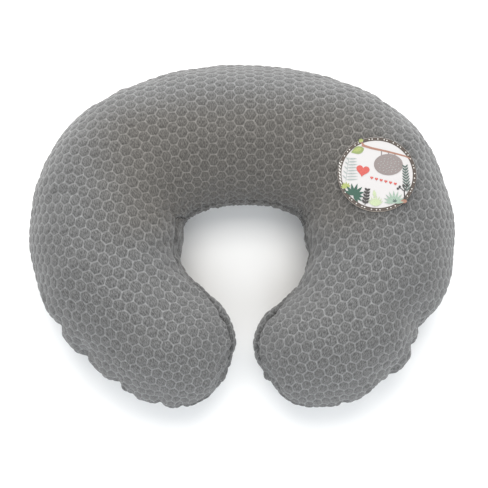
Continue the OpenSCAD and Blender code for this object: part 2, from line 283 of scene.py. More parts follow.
# The same for the wall of the hole, positive into the hole
INNER_SHIFTS = [(-0.41, 0.03, -0.0025), (-0.27, 0.11, 0.0065), (0.26, 0.10, 0.0040), (0.41, 0.04, -0.0085)]
# The zipper holds the cover this far from the middle of the back, fading out, and this far up and down
STIFF_REACH, STIFF_FADE, STIFF_HEIGHT = 0.135, 0.035, 0.030
# Small dents of the back's outline, where the zipper ends
BACK_DENTS = [(0.098, 0.0025), (0.171, 0.003), (-0.103, 0.0015)]


def seam_raise(t):
    """How far the inner seam has climbed above the widest inner point, in radians: it rides up on the
    left wall of the hole and at both tips, where the bottom panel shows as a lip."""
    left = 21 * ease((-t - 0.14) / 0.06) + 9 * ease((-t - 0.40) / 0.05)
    right = 5 * ease((t - 0.1) / 0.1) + 26 * ease((t - 0.38) / 0.06)
    near_pole = 1 - ease((np.abs(t) - 0.50) / 0.03)
    return np.radians(np.where(t < 0, left, right) * near_pole)


def slot_start(t):
    """Angle at which a panel stands back from the outer seam, for the zipper."""
    full = math.asin(SLOT_H / 2 / SEAM_Z)
    return full * ease((1.03 * BACK_R * ZIPPER_HALF_ANGLE - np.abs(t)) / 0.008)


def lip(t):
    """0 to 1 where the bottom panel bulges past the inner seam at a tip."""
    left = ease((-t - 0.412) / 0.03) * ease((0.505 + t) / 0.02)
    right = ease((t - 0.42) / 0.03) * ease((0.51 - t) / 0.02)
    return np.where(t < 0, left, right)


def tucked(t, from_seam):
    """How far the gathered outer seam pulls the cloth in."""
    depth = np.zeros(np.broadcast(t, from_seam).shape)
    for tucks, side in ((LEFT_TUCKS, -1), (RIGHT_TUCKS, 1), (BACK_DENTS, 1)):
        for place, amount in tucks:
            away = np.abs(t - side * place)
            notch = bump(away, 0, 0.0032 + 0.16 * from_seam)
            depth += amount * notch * bump(from_seam, 0, TUCK_REACH)
    return depth


def gathered_lobes(t, from_seam):
    """The cloth stands out between tucks."""
    on_arm = ease((np.abs(t) - 0.28) / 0.04) * ease((0.5 - np.abs(t)) / 0.04)
    return LOBE_HEIGHT * on_arm * bump(from_seam, 0, LOBE_REACH)


def grid_normals(points, lower):
    """Unit normals of a grid of points, facing out of the roll."""
    along = np.gradient(points, axis=0)
    across = np.gradient(points, axis=1)
    normal = np.cross(across, along) if not lower else np.cross(along, across)
    size = np.linalg.norm(normal, axis=-1, keepdims=True)
    return normal / np.maximum(size, 1e-12)


def pole_normals(normal):
    """At the two ends every column meets in one point, so its normals are averaged."""
    for row, near in ((0, 2), (-1, -3)):
        mean = normal[near].mean(0)
        normal[row] = mean / np.linalg.norm(mean)
        normal[row + (1 if row == 0 else -1)] = normal[row]
    return normal


def half_of(grid, left):
    """The rows of a whole panel that belong to one half. Both halves hold the middle row."""
    middle = grid.shape[0] // 2
    return grid[: middle + 1] if left else grid[middle:]


def panel_grid(lower, rows, columns, inset=0.0, slotted=True):
    """t, angle and points of a whole panel, from the left tip over the back to the right tip."""
    t = np.linspace(-END, END, rows)[:, None]
    u = np.linspace(0, 1, columns)[None, :]
    start = slot_start(t) if slotted else 0 * t
    raised = seam_raise(t)
    angle = mix(start, math.pi + raised, u) * -1 if lower else mix(start, math.pi - raised, u)
    t = np.broadcast_to(t, angle.shape)
    return t, angle, roll(t, angle, inset)


def arc_lengths(points):
    """Distance along each row from the outer seam, and what is left of it to the inner seam."""
    step = np.linalg.norm(np.diff(points, axis=1), axis=-1)
    run = np.concatenate([np.zeros((points.shape[0], 1)), np.cumsum(step, axis=1)], axis=1)
    return run, run[:, -1:] - run


def free_of_zipper(t, from_outer):
    """0 where the stiff zipper holds the cover to its curve, 1 away from it."""
    beside_zipper = ease((STIFF_REACH - np.abs(t)) / STIFF_FADE)
    return mix(1, ease((from_outer - 0.004) / STIFF_HEIGHT), beside_zipper)


def outline_shift(t, angle, from_outer):
    """The real pillow isn't quite symmetric: small shifts of its outer and inner walls, in metres."""
    outer = sum(amount * bump(t, middle, width) for middle, width, amount in OUTLINE_SHIFTS)
    inner = sum(amount * bump(t, middle, width) for middle, width, amount in INNER_SHIFTS)
    outer = outer * free_of_zipper(t, from_outer)
    return outer * ease(np.cos(angle) / 0.9) + inner * ease(-np.cos(angle) / 0.9)


def low_waves(points):
    """The filling is a little lumpy."""
    return LOW_WAVE * smooth_noise(points, 0.09, 11)


def large_relief(t, angle, points, from_outer, from_inner, lower):
    """What the filled cloth does on a larger scale than its knit: seams, tucks, lips and low waves."""
    out = outline_shift(t, angle, from_outer)
    out = out - SEAM_DEPTH * bump(from_outer, 0, SEAM_WIDTH) * (slot_start(t) < 1e-6)
    at_lip = lip(t)
    out = out - (SEAM_DEPTH + LIP_CREASE * at_lip) * bump(from_inner, 0, SEAM_WIDTH)
    # The top panel hangs over the crease, and the bottom panel bulges out below it
    if lower:
        out = out + at_lip * LIP_BULGE * bump(from_inner, 0.016, 0.012)
    else:
        out = out + at_lip * LIP_OVERHANG * bump(from_inner, 0.0075, 0.0065)
    out = out - tucked(t, from_outer) + gathered_lobes(t, from_outer) + low_waves(points)
    # The cloth is crowded on the inside of the bend
    crowded = ease(1 - from_inner / 0.05) * ease(1 - (np.abs(t) - 0.17) / 0.05)
    out = out + CROWDED_WAVE * crowded * smooth_noise(np.stack([t * 1.6, from_inner * 0.5], -1), 0.016, 12)
    return out * mix(0.25, 1, ease((points[..., 2] - 0.001) / 0.028)) if lower else out


def knit_relief(place, near_seam):
    """Puffed cells with valleys between them, flatter where a seam holds them down."""
    lumps = 1 + 0.22 * smooth_noise(place, 0.03, 5)
    dome = 1 - cell_edge(place) ** 3 - 0.6
    return CELL_HEIGHT * lumps * dome * mix(0.25, 1, ease((near_seam - 0.001) / 0.006))


def cover_shape(lower, settled):
    """Points, normals and cloth places of a whole cover panel, and the normals of its plain shape."""
    rows = 2 * round(END / ROW_STEP) + 1
    t, angle, points = panel_grid(lower, rows, COLUMNS)
    normal = pole_normals(grid_normals(points, lower))
    from_outer, from_inner = arc_lengths(points)
    place = knit_place(t, angle)
    wander = [smooth_noise(place, 0.07, seed) for seed in (3, 4)]
    place = place + 0.0011 * np.stack(wander, -1)
    out = large_relief(t, angle, points, from_outer, from_inner, lower)
    out = out + knit_relief(place, np.minimum(from_outer, from_inner))
    if settled is not None:
        points = points + resample(settled, points.shape[:2]) * free_of_zipper(t, from_outer)[..., None]
    points = points + normal * out[..., None]
    points[..., 2] = np.maximum(points[..., 2], 0.0)
    # Painted shade along the inner seam, strongest at the tip lips, and lighter painted shade along the outer
    # seam
    seam_shade = bump(from_inner, 0, SEAM_WIDTH) * (0.3 + 0.7 * lip(t)) + 0.3 * bump(from_outer, 0, 0.0014)
    return t, points, np.concatenate([place, seam_shade[..., None]], -1), normal


def resample(field, shape):
    """A coarse grid of vectors, smoothly brought to a finer grid."""
    for axis in (0, 1):
        n, m = field.shape[axis], shape[axis]
        at = np.linspace(0, n - 1, m)
        low = np.clip(np.floor(at).astype(int), 0, n - 2)
        f = (at - low).reshape([-1 if k == axis else 1 for k in range(3)])
        a, b, c, d = (np.take(field, np.clip(low + k, 0, n - 1), axis=axis) for k in (-1, 0, 1, 2))
        square, cube = a - 2.5 * b + 2 * c - d / 2, 1.5 * (b - c) + (d - a) / 2
        field = b + (c - a) * f / 2 + square * f**2 + cube * f**3
    return field


def with_hem(grid, edge, lines):
    """A grid with more columns past one edge, the nearest first."""
    before, after = (lines[::-1], []) if edge == 0 else ([], lines)
    return np.stack([*before, *grid.swapaxes(0, 1), *after], 1)


def join_seams(top, bottom):
    """Both panels meet in one line at each seam, except along the zipper, and their edges turn in there."""
    t = top[0][:, 0]
    panels = [list(panel[1:]) for panel in (top, bottom)]
    open_slot = slot_start(t) > 1e-6
    hems = []
    for edge in (0, -1):
        sewn = ~open_slot if edge == 0 else np.ones(len(t), bool)
        middle = (panels[0][0][:, edge] + panels[1][0][:, edge]) / 2
        inward = -(panels[0][2][:, edge] + panels[1][2][:, edge])
        inward /= np.linalg.norm(inward, axis=-1, keepdims=True)
        for panel in panels:
            panel[0][sewn, edge] = middle[sewn]
        hems.append((edge, inward, np.where(sewn, HEM_DEPTH, SLOT_HEM_DEPTH)[:, None]))
    joined = []
    for lower, (points, place, _) in zip((False, True), panels):
        shaded = pole_normals(grid_normals(points, lower))
        for edge, inward, depth in hems:
            turned = [points[:, edge] + inward * depth * share for share in (0.4, 1.0)]
            points = with_hem(points, edge, turned)
            shaded, place = [with_hem(grid, edge, [grid[:, edge]] * 2) for grid in (shaded, place)]
        joined.append((points, shaded, place))
    return joined


def grid_object(name, points, flip, normals=None, cloth=None, material=None):
    """A mesh object from a grid of points, with smooth faces, set normals and a cloth map."""
    rows, columns = points.shape[:2]
    index = np.arange(rows * columns).reshape(rows, columns)
    corners = [index[:-1, :-1], index[1:, :-1], index[1:, 1:], index[:-1, 1:]]
    quads = np.stack(corners[::-1] if flip else corners, -1).reshape(-1, 4)
    mesh = bpy.data.meshes.new(name)
    mesh.vertices.add(rows * columns)
    mesh.vertices.foreach_set("co", points.reshape(-1).astype(np.float32))
    mesh.loops.add(quads.size)
    mesh.loops.foreach_set("vertex_index", quads.reshape(-1).astype(np.int32))
    mesh.polygons.add(len(quads))
    mesh.polygons.foreach_set("loop_start", np.arange(0, quads.size, 4, dtype=np.int32))
    mesh.polygons.foreach_set("use_smooth", np.ones(len(quads), bool))
    mesh.update(calc_edges=True)
    if cloth is not None:
        layer = mesh.uv_layers.new(name="cloth")
        uv = cloth[..., :2].reshape(-1, 2)[quads.reshape(-1)]
        layer.data.foreach_set("uv", uv.reshape(-1).astype(np.float32))
        # A third channel of cloth, where given, holds the painted seam shade
        if cloth.shape[-1] > 2:
            seam_shade = mesh.attributes.new("seam_shade", "FLOAT", "POINT")
            seam_shade.data.foreach_set("value", cloth[..., 2].reshape(-1).astype(np.float32))
    if normals is not None:
        mesh.normals_split_custom_set_from_vertices(normals.reshape(-1, 3).tolist())
    if material:
        mesh.materials.append(material)
    return add_object(name, mesh)


def weld(obj):
    """Join a tube's first and last lines of points, and close its ends."""
    shape = bmesh.new()
    shape.from_mesh(obj.data)
    bmesh.ops.remove_doubles(shape, verts=shape.verts, dist=1e-6)
    bmesh.ops.holes_fill(shape, edges=[e for e in shape.edges if e.is_boundary], sides=0)
    bmesh.ops.recalc_face_normals(shape, faces=shape.faces)
    shape.to_mesh(obj.data)
    shape.free()


# ---------------- cloth simulation
SETTLE_ROWS, SETTLE_COLUMNS = 2 * 86 + 1, 43
SETTLE_FRAMES, SETTLE_PRESSURE = 16, 5
# At its seams the cloth is this share too long, and this many steps of the grid away it fits
SPARE_LENGTH, SPARE_STEPS = 0.045, 9
WRINKLE_DEPTH = 0.0018


def smoothed(field, axis, reach):
    """A running mean with soft ends, over reach steps each way; round the tube the steps wrap."""
    weights = np.cos(np.linspace(-1, 1, 2 * reach + 3)[1:-1] * math.pi / 2) ** 2
    pad = [(reach, reach) if k == axis else (0, 0) for k in range(field.ndim)]
    padded = np.pad(field, pad, mode="wrap" if axis == 1 else "edge")
    total = sum(w * np.take(padded, range(k, k + field.shape[axis]), axis) for k, w in enumerate(weights))
    return total / weights.sum()


def settle_cover():
    """The cover as a closed tube of cloth, cut a little long by its seams, filled with pressure and held
    at its seams and on the floor. Gives the wrinkles of each panel, on a coarse grid."""
    grids = [panel_grid(lower, SETTLE_ROWS, SETTLE_COLUMNS, slotted=False) for lower in (False, True)]
    top, bottom = grids[0][2], grids[1][2]
    ring = np.concatenate([top, bottom[:, -2:0:-1]], axis=1)[1:-1]
    rows, around = ring.shape[:2]
    verts = np.concatenate([ring.reshape(-1, 3), [top[0, 0]], [top[-1, 0]]])
    index = np.arange(rows * around).reshape(rows, around)
    beside = np.roll(index, -1, axis=1)
    faces = np.stack([index[:-1], beside[:-1], beside[1:], index[1:]], -1).reshape(-1, 4).tolist()
    left_pole, right_pole = rows * around, rows * around + 1
    faces += [[left_pole, b, a] for a, b in zip(index[0], beside[0])]
    faces += [[right_pole, a, b] for a, b in zip(index[-1], beside[-1])]
    mesh = bpy.data.meshes.new("settling")
    mesh.from_pydata(verts.tolist(), [], faces)
    obj = add_object("settling", mesh)
    held = obj.vertex_groups.new(name="held")
    seams = np.concatenate([index[:, 0], index[:, SETTLE_COLUMNS - 1], [left_pole, right_pole]])
    held.add(seams.tolist(), 1.0, "REPLACE")
    resting = np.flatnonzero(verts[:, 2] < 0.0015)
    held.add(resting.tolist(), 0.8, "REPLACE")
    firm = obj.vertex_groups.new(name="firm")
    for column in range(around):
        steps_from_seam = min(column, abs(column - SETTLE_COLUMNS + 1), around - column)
        firm.add(index[:, column].tolist(), float(ease(steps_from_seam / SPARE_STEPS)), "REPLACE")
    cloth = obj.modifiers.new("cloth", "CLOTH")
    settings = cloth.settings
    settings.quality = 6
    settings.mass = 0.25
    settings.tension_stiffness = settings.compression_stiffness = 25
    settings.shear_stiffness, settings.bending_stiffness = 8, 0.8
    settings.vertex_group_mass = "held"
    settings.pin_stiffness = 1
    settings.vertex_group_shrink = "firm"
    settings.shrink_min, settings.shrink_max = -SPARE_LENGTH, 0.0
    settings.use_pressure = True
    settings.uniform_pressure_force = SETTLE_PRESSURE
    settings.effector_weights.gravity = 0
    cloth.collision_settings.use_collision = False
    scene = bpy.context.scene
    for number in range(1, SETTLE_FRAMES + 1):
        scene.frame_set(number)
    final = obj.evaluated_get(bpy.context.evaluated_depsgraph_get()).data
    moved = np.zeros(len(verts) * 3, np.float32)
    final.vertices.foreach_get("co", moved)
    moved = moved.reshape(-1, 3) - verts
    scene.frame_set(1)
    bpy.data.objects.remove(obj)
    normal = np.zeros((rows + 2, around, 3))
    normal[1:-1] = np.cross(np.roll(ring, -1, 1) - np.roll(ring, 1, 1), np.gradient(ring, axis=0))
    normal[1:-1] /= np.linalg.norm(normal[1:-1], axis=-1, keepdims=True)
    field = np.zeros((rows + 2, around, 3))
    field[1:-1] = moved[: rows * around].reshape(rows, around, 3)
    rise = (field * normal).sum(-1)
    # The sizes already are those of the filled pillow, so only the wrinkles are kept
    wrinkles = rise - smoothed(smoothed(rise, 0, 5), 1, 3)
    field = normal * np.clip(wrinkles, -WRINKLE_DEPTH, WRINKLE_DEPTH)[..., None]
    lower_columns = np.concatenate([[0], np.arange(around - 1, SETTLE_COLUMNS - 2, -1)])
    return field[:, :SETTLE_COLUMNS], field[:, lower_columns]


# ---------------- materials
class Shader:
    """A material under construction: each call adds one node and gives back its output."""

    def __init__(self, name, roughness=0.8):
        self.material = bpy.data.materials.new(name)
        self.material.use_nodes = True
        self.tree = self.material.node_tree
        self.surface = self.tree.nodes["Principled BSDF"]
        self.put("Roughness", roughness)

    def add(self, kind, *inputs, out=0, **settings):
        made = self.tree.nodes.new("ShaderNode" + kind)
        for key, value in settings.items():
            setattr(made, key, value)
        for socket, value in zip(made.inputs, inputs):
            self.plug(socket, value)
        return made.outputs[out]

    def plug(self, socket, value):
        if value is None:
            return
        if isinstance(value, bpy.types.NodeSocket):
            self.tree.links.new(value, socket)
        else:
            socket.default_value = value

    def put(self, name, value):
        self.plug(self.surface.inputs[name], value)

    def math(self, operation, *inputs):
        return self.add("Math", *inputs, operation=operation)

    def times(self, a, b):
        return self.math("MULTIPLY", a, b)

    def plus(self, a, b):
        return self.math("ADD", a, b)

    def cloth_place(self):
        """The place in the flat cloth, and its x and y."""
        cloth = self.add("UVMap", uv_map="cloth")
        split = self.tree.nodes.new("ShaderNodeSeparateXYZ")
        self.plug(split.inputs[0], cloth)
        return cloth, split.outputs[0], split.outputs[1]

    def object_place(self):
        return self.add("TexCoord", out=3)

    def mix(self, share, a, b):
        made = self.tree.nodes.new("ShaderNodeMix")
        made.data_type = "RGBA"
        for socket, value in zip((made.inputs[0], made.inputs[6], made.inputs[7]), (share, a, b)):
            self.plug(socket, value)
        return made.outputs[2]

    def between(self, value, low, high):
        """0 at low, 1 at high, with soft ends."""
        return self.add("MapRange", value, low, high, 0.0, 1.0, interpolation_type="SMOOTHSTEP")

    def noise(self, vector, scale, detail=2.0, roughness=0.5):
        return self.add("TexNoise", vector, None, scale, detail, roughness)

    def paint(self, share, a, b):
        """Colour a where the share is 0, and b where it is 1."""
        self.put("Base Color", self.mix(share, a, b))

    def emboss(self, height, distance, strength):
        """Fine relief, distance deep where the height runs from 0 to 1."""
        made = self.tree.nodes.new("ShaderNodeBump")
        for name, value in (("Strength", strength), ("Distance", distance), ("Height", height)):
            self.plug(made.inputs[name], value)
        self.put("Normal", made.outputs[0])


def grey(value, warmth=0.0):
    return (value * (1 + warmth), value, value * (1 - warmth), 1.0)


RIB_PITCH, LOOP_PITCH = 0.0017, 0.0021


def knit_material(name, tone):
    """Puffy knit: dark heathered cells, lighter stitches between them, fine ribs, and painted shade at the
    cell edges, in the bend of the back and along the seams.
    """
    s = Shader(name, 0.93)
    cloth, place_x, place_y = s.cloth_place()
    half = CELL_PITCH / 2
    # The same six-sided cells as cell_edge, from the nearer of two square grids
    across = s.math("PINGPONG", place_x, COLUMN_GAP)
    along = s.math("PINGPONG", place_y, half)
    other_grid = (s.math("SUBTRACT", COLUMN_GAP, across), s.math("SUBTRACT", half, along))
    near, far = [], []
    for x, y in ((across, along), other_grid):
        slanted = s.plus(s.times(x, math.sqrt(3) / 2), s.times(y, 0.5))
        near.append(s.math("MAXIMUM", y, slanted))
        far.append(s.math("SQRT", s.plus(s.times(y, y), s.times(x, x))))
    edge = s.math("DIVIDE", s.math("MINIMUM", *near), half)
    ragged = s.times(s.math("SUBTRACT", s.noise(cloth, 420.0, 2.0), 0.5), 0.16)
    edge = s.plus(edge, ragged)
    corner = s.math("DIVIDE", s.math("MINIMUM", *far), half * 2 / math.sqrt(3))
    corner = s.between(s.plus(corner, ragged), 0.79, 0.93)
    line = s.math("MAXIMUM", s.times(s.between(edge, 0.81, 0.92), 0.62), corner)
    # The stitches of a line show unevenly
    line = s.times(line, s.add("MapRange", s.noise(cloth, 210.0, 3.0), 0.3, 0.65, 0.42, 1.0))
    # Painted shade: each cell is painted darker in a ring just inside its edge, for the shade where its
    # puffed dome slopes into the valley
    cell_edge_shade = s.times(s.between(edge, 0.62, 0.82), s.math("SUBTRACT", 1.0, line))
    # Ribs of stitches run along the columns, and each rib is a chain of small loops
    rib = s.math("SINE", s.times(place_x, 2 * math.pi / RIB_PITCH))
    loop = s.math("SINE", s.plus(s.times(place_y, 2 * math.pi / LOOP_PITCH), s.times(rib, 1.2)))
    stretched = s.add("Mapping", cloth, None, None, (900.0, 260.0, 1.0), vector_type="POINT")
    heather = s.noise(stretched, 1.0, 3.0, 0.65)
    lumps = s.noise(cloth, 55.0, 2.0)
    cell = s.mix(s.between(heather, 0.35, 0.66), grey(tone * 0.50, 0.006), grey(tone * 1.50, 0.002))
    cell = s.mix(s.times(cell_edge_shade, 0.30), cell, grey(tone * 0.55, 0.01))
    colour = s.mix(s.times(line, 0.80), cell, grey(tone * 2.45, -0.006))
    colour = s.mix(s.times(s.between(lumps, 0.35, 0.75), 0.15), colour, grey(tone * 0.78, 0.02))
    # Painted shade: inside the bend of the back the knit is painted darker and a little browner, for the
    # shade that falls there
    inner = s.times(s.between(place_y, 0.045, -0.02), s.between(place_y, -0.17, -0.12))
    bend_shade_mask = s.times(inner, s.between(s.math("ABSOLUTE", place_x), 0.22, 0.12))
    bend_shaded_colour = s.add("VectorMath", colour, (0.82, 0.775, 0.72), operation="MULTIPLY")
    colour = s.mix(bend_shade_mask, colour, bend_shaded_colour)
    # Painted shade: the knit is painted dark along the seams where they fold in, most at the lips of the
    # tips, for the shade in the fold
    seam_shade = s.add("Attribute", out=2, attribute_name="seam_shade")
    s.paint(s.times(seam_shade, 0.88), colour, grey(tone * 0.12, 0.01))
    s.put("Roughness", s.add("MapRange", heather, 0.2, 0.8, 0.86, 0.98))
    s.put("Sheen Weight", 0.30)
    s.put("Sheen Roughness", 0.5)
    s.put("Specular IOR Level", 0.2)
    fine = s.plus(s.times(rib, 0.35), s.times(loop, 0.3))
    s.emboss(s.plus(fine, heather), 0.0004, 0.55)
    return s.material


KNIT_TOP = knit_material("knit_top", 0.113)
# Painted shade: the bottom panel gets a darker copy of the same knit, for the shade the underside lies in
KNIT_BOTTOM_SHADED = knit_material("knit_bottom", 0.105)


def bend(obj):
    """The piece's placement is baked into its mesh."""
    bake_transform(obj)


def soft_panel(kind, side, lower, obj):
    level = "bottom" if lower else "top"
    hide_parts(f"{kind}_{level}_back", f"{kind}_{level}_{side}_arm")
    bend(obj)


def build_cover():
    settled = settle_cover()
    shapes = join_seams(cover_shape(False, settled[0]), cover_shape(True, settled[1]))
    for lower, grids in zip((False, True), shapes):
        level, knit = ("bottom", KNIT_BOTTOM_SHADED) if lower else ("top", KNIT_TOP)
        for side in ("left", "right"):
            points, normal, place = (half_of(grid, side == "left") for grid in grids)
            obj = grid_object(f"cover_{level}_{side}", points, not lower, normal, place, knit)
            soft_panel("cover", side, lower, obj)


build_cover()


# ---------------- inner pillow
INNER_STEP = 0.005
CASING_INSET = COVER_T + SLACK
FILL_INSET = CASING_INSET + CASING_T + 0.0004
ZIPPER_DENT = 0.0035


def woven_material(name, tone, thread, warmth=0.02):
    """Plain weave: two sets of crossed threads."""
    s = Shader(name, 0.85)
    cloth, *places = s.cloth_place()
    warp, weft = [s.math("SINE", s.times(place, 2 * math.pi / thread)) for place in places]
    weave = s.times(warp, weft)
    slubs = s.noise(s.add("Mapping", cloth, None, None, (500.0, 60.0, 1.0)), 1.0, 3.0)
    soil = s.noise(cloth, 20.0, 3.0)
    shade = s.mix(s.between(slubs, 0.3, 0.7), grey(tone * 0.93, warmth), grey(tone * 1.04, warmth))
    shade = s.mix(s.times(s.between(soil, 0.45, 0.75), 0.15), shade, grey(tone * 0.88, warmth * 2))
    s.paint(s.times(s.between(weave, -0.2, -1.0), 0.22), shade, grey(tone * 0.7, warmth))
    s.put("Roughness", s.add("MapRange", slubs, 0.2, 0.8, 0.8, 0.95))
    s.put("Sheen Weight", 0.08)
    s.emboss(s.plus(weave, slubs), 0.0002, 0.5)
    return s.material


def fibre_material(name):
    """Polyester fibre: white, in long tangled strands."""
    s = Shader(name, 0.9)
    cloth = s.add("UVMap", uv_map="cloth")
    long_way = s.noise(s.add("Mapping", cloth, None, (0, 0, 0.6), (900.0, 90.0, 1.0)), 1.0, 5.0, 0.7)
    cross_way = s.noise(s.add("Mapping", cloth, None, (0, 0, -0.9), (90.0, 800.0, 1.0)), 1.0, 5.0, 0.7)
    strands = s.math("MAXIMUM", long_way, cross_way)
    clumps = s.noise(cloth, 45.0, 3.0)
    colour = s.mix(s.between(strands, 0.4, 0.75), grey(0.74, 0.01), grey(0.93, 0.005))
    s.paint(s.times(clumps, 0.3), colour, grey(0.82, 0.015))
    s.put("Subsurface Weight", 0.1)
    s.put("Subsurface Scale", 0.004)
    s.emboss(s.plus(strands, clumps), 0.0012, 0.6)
    return s.material


def inner_surface(lower, inset, lumps, seed):
    """A whole half of the inner pillow, kept clear of all that the cover turns in."""
    rows = 2 * round(END / INNER_STEP) + 1
    t, angle, points = panel_grid(lower, rows, round(COLUMNS * ROW_STEP / INNER_STEP), slotted=False)
    normal = pole_normals(grid_normals(points, lower))
    from_outer, from_inner = arc_lengths(points)
    place = knit_place(t, angle)
    out = np.minimum(large_relief(t, angle, points, from_outer, from_inner, lower), 0.0005) - inset - 0.0008
    near_seam = np.minimum(from_outer, from_inner)
    out = out - (HEM_DEPTH + 0.001) * bump(near_seam, 0, 0.009)
    out = out - ZIPPER_DENT * bump(from_outer, 0, 0.02) * (slot_start(t * 0.9) > 0)
    out = out - np.abs(lumps * smooth_noise(place, 0.035, seed))
    points = points + normal * out[..., None]
    points[..., 2] = np.maximum(points[..., 2], inset)
    return points, place, pole_normals(grid_normals(points, lower))


def build_inner():
    casing_cloth = woven_material("casing_cloth", 0.60, 0.0011)
    fibre = fibre_material("fibre_fill")
    halves = [inner_surface(lower, CASING_INSET, 0.0005, 21) for lower in (False, True)]
    for lower, grids in zip((False, True), halves):
        for side in ("left", "right"):
            points, place, normal = (half_of(grid, side == "left") for grid in grids)
            name = f"casing_{'bottom' if lower else 'top'}_{side}"
            obj = grid_object(name, points, not lower, normal, place, casing_cloth)
            soft_panel("casing", side, lower, obj)
    halves = [inner_surface(lower, FILL_INSET, 0.0016, 22) for lower in (False, True)]
    ring = [np.concatenate([top, bottom[:, -2::-1]], 1) for top, bottom in zip(*halves)]
    for side in ("left", "right"):
        points, place, normal = (half_of(grid, side == "left") for grid in ring)
        obj = grid_object(f"fill_{side}", points, True, normal, place, fibre)
        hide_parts("fill_back", f"fill_{side}_arm")
        bend(obj)


build_inner()


# ---------------- zipper
OUTER_R = BACK_R + BACK_HALF_W
TAPE_R = OUTER_R - COVER_T - SLACK + 0.0001
TAPE_T, TAPE_LEAN, TAPE_BEND = 0.00045, 1.2, 0.00455
COIL_R = TAPE_R + TAPE_T + COIL_D / 2
COIL_Z = COIL_GAP + COIL_D / 2
STOP_HALF_ANGLE = math.radians(0.3)
COIL_WIRE, COIL_PITCH = 0.00026, 0.0013
COIL_STEPS, WIRE_SIDES = 14, 6
TAPE_BAND, TAPE_RIB = 0.0015, 0.0007


def on_arc(angle, radius, height):
    """A point of the zipper: angle from the middle of the back towards -X."""
    x, y = -radius * np.sin(angle), ARC_CENTRE_Y + radius * np.cos(angle)
    return np.stack(np.broadcast_arrays(x, y, SEAM_Z + height), -1)


def tape_material():
    """Herringbone tape: slanted ribs that change their slant from band to band."""
    s = Shader("zipper_tape", 0.8)
    cloth, along, across = s.cloth_place()
    zigzag = s.math("PINGPONG", across, TAPE_BAND)
    rib = s.math("SINE", s.times(s.plus(along, zigzag), 2 * math.pi / TAPE_RIB))
    fuzz = s.noise(cloth, 2500.0, 3.0)
    thread = s.mix(fuzz, grey(0.085, 0.01), grey(0.12, 0.01))
    s.paint(s.between(rib, -0.8, 0.8), grey(0.05, 0.01), thread)
    s.put("Sheen Weight", 0.1)
    s.emboss(s.plus(rib, fuzz), 0.00012, 0.7)
    return s.material


def nylon_material():
    s = Shader("zipper_coil", 0.38)
    place = s.object_place()
    wear = s.noise(place, 900.0, 3.0)
    s.paint(wear, grey(0.07), grey(0.11, 0.01))
    s.put("Roughness", s.add("MapRange", wear, 0.2, 0.8, 0.3, 0.5))
    s.emboss(wear, 0.00003, 0.4)
    return s.material


def metal_material():
    """Grey enamelled zinc: slightly mottled, rubbed bright in fine scratches."""
    s = Shader("zipper_metal", 0.35)
    place = s.object_place()
    mottle = s.noise(place, 700.0, 4.0)
    scratches = s.noise(s.add("Mapping", place, None, (0.4, 0.2, 0.9), (300.0, 4000.0, 300.0)), 1.0, 2.0)
    rubbed = s.between(scratches, 0.62, 0.75)
    s.paint(rubbed, s.mix(mottle, grey(0.26), grey(0.36, -0.01)), grey(0.62))
    s.put("Metallic", 0.75)
    s.put("Roughness", s.mix(rubbed, grey(0.42), grey(0.24)))
    s.emboss(mottle, 0.00004, 0.5)
    return s.material


def stands_on_back(obj, node):
    """The piece is seen instead of a CAD node of the back."""
    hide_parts(node)
    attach(obj, "back")


def build_tape(sign, material):
    """Woven tape with a thickened edge cord by the coil, closed all round. It leans in with the cover."""
    top = COIL_GAP + TAPE_H
    heights = [COIL_GAP, COIL_GAP + 0.0006, COIL_GAP + 0.0013, TAPE_BEND, 0.0085, top - 0.0008, top]
    bends = np.array([0, TAPE_BEND, top])
    lean = np.interp(heights, bends, TAPE_LEAN * BACK_HALF_W * (1 - np.sqrt(1 - (bends / SEAM_Z) ** 2)))
    thick = [0.9, 1.0, 0.8, 0.7, 0.7, 0.85, 0.75]
    front = [(TAPE_R + TAPE_T * k - d, z) for z, d, k in zip(heights, lean, thick)]
    back = [(TAPE_R - d, z) for z, d in zip(heights, lean)]
    profile = np.array(front + back[::-1] + front[:1])
    steps = np.linspace(-ZIPPER_HALF_ANGLE, ZIPPER_HALF_ANGLE, 360)[:, None]
    points = on_arc(steps, profile[None, :, 0], sign * profile[None, :, 1])
    girth = np.concatenate([[0], np.cumsum(np.hypot(*np.diff(profile, axis=0).T))])
    place = np.stack(np.broadcast_arrays(steps * TAPE_R, girth[None, :]), -1)
    name = "tape_upper" if sign > 0 else "tape_lower"
    obj = grid_object(name, points, sign > 0, None, place, material)
    weld(obj)
    stands_on_back(obj, "zipper_" + name)


def build_coil(sign, material):
    """A nylon coil: one wire wound along the tape's edge."""
    reach = ZIPPER_HALF_ANGLE - 2 * STOP_HALF_ANGLE - 0.001
    turns = round(2 * reach * COIL_R / COIL_PITCH)
    phase = np.linspace(0, 2 * math.pi * turns, turns * COIL_STEPS + 1)
    angle = np.linspace(-reach, reach, len(phase))
    wound = COIL_D / 2 - COIL_WIRE
    path = on_arc(angle, COIL_R + wound * np.cos(phase), sign * (COIL_Z + wound * np.sin(phase)))
    tangent = np.gradient(path, axis=0)
    tangent /= np.linalg.norm(tangent, axis=-1, keepdims=True)
    outward = path - on_arc(angle, COIL_R, sign * COIL_Z)
    outward -= tangent * (outward * tangent).sum(-1, keepdims=True)
    outward /= np.linalg.norm(outward, axis=-1, keepdims=True)
    sideways = np.cross(tangent, outward)
    ring = np.linspace(0, 2 * math.pi, WIRE_SIDES + 1)[None, :, None]
    points = path[:, None] + COIL_WIRE * (np.cos(ring) * outward[:, None] + np.sin(ring) * sideways[:, None])
    name = "coil_upper" if sign > 0 else "coil_lower"
    obj = grid_object(name, points, False, None, None, material)
    weld(obj)
    stands_on_back(obj, "zipper_" + name)


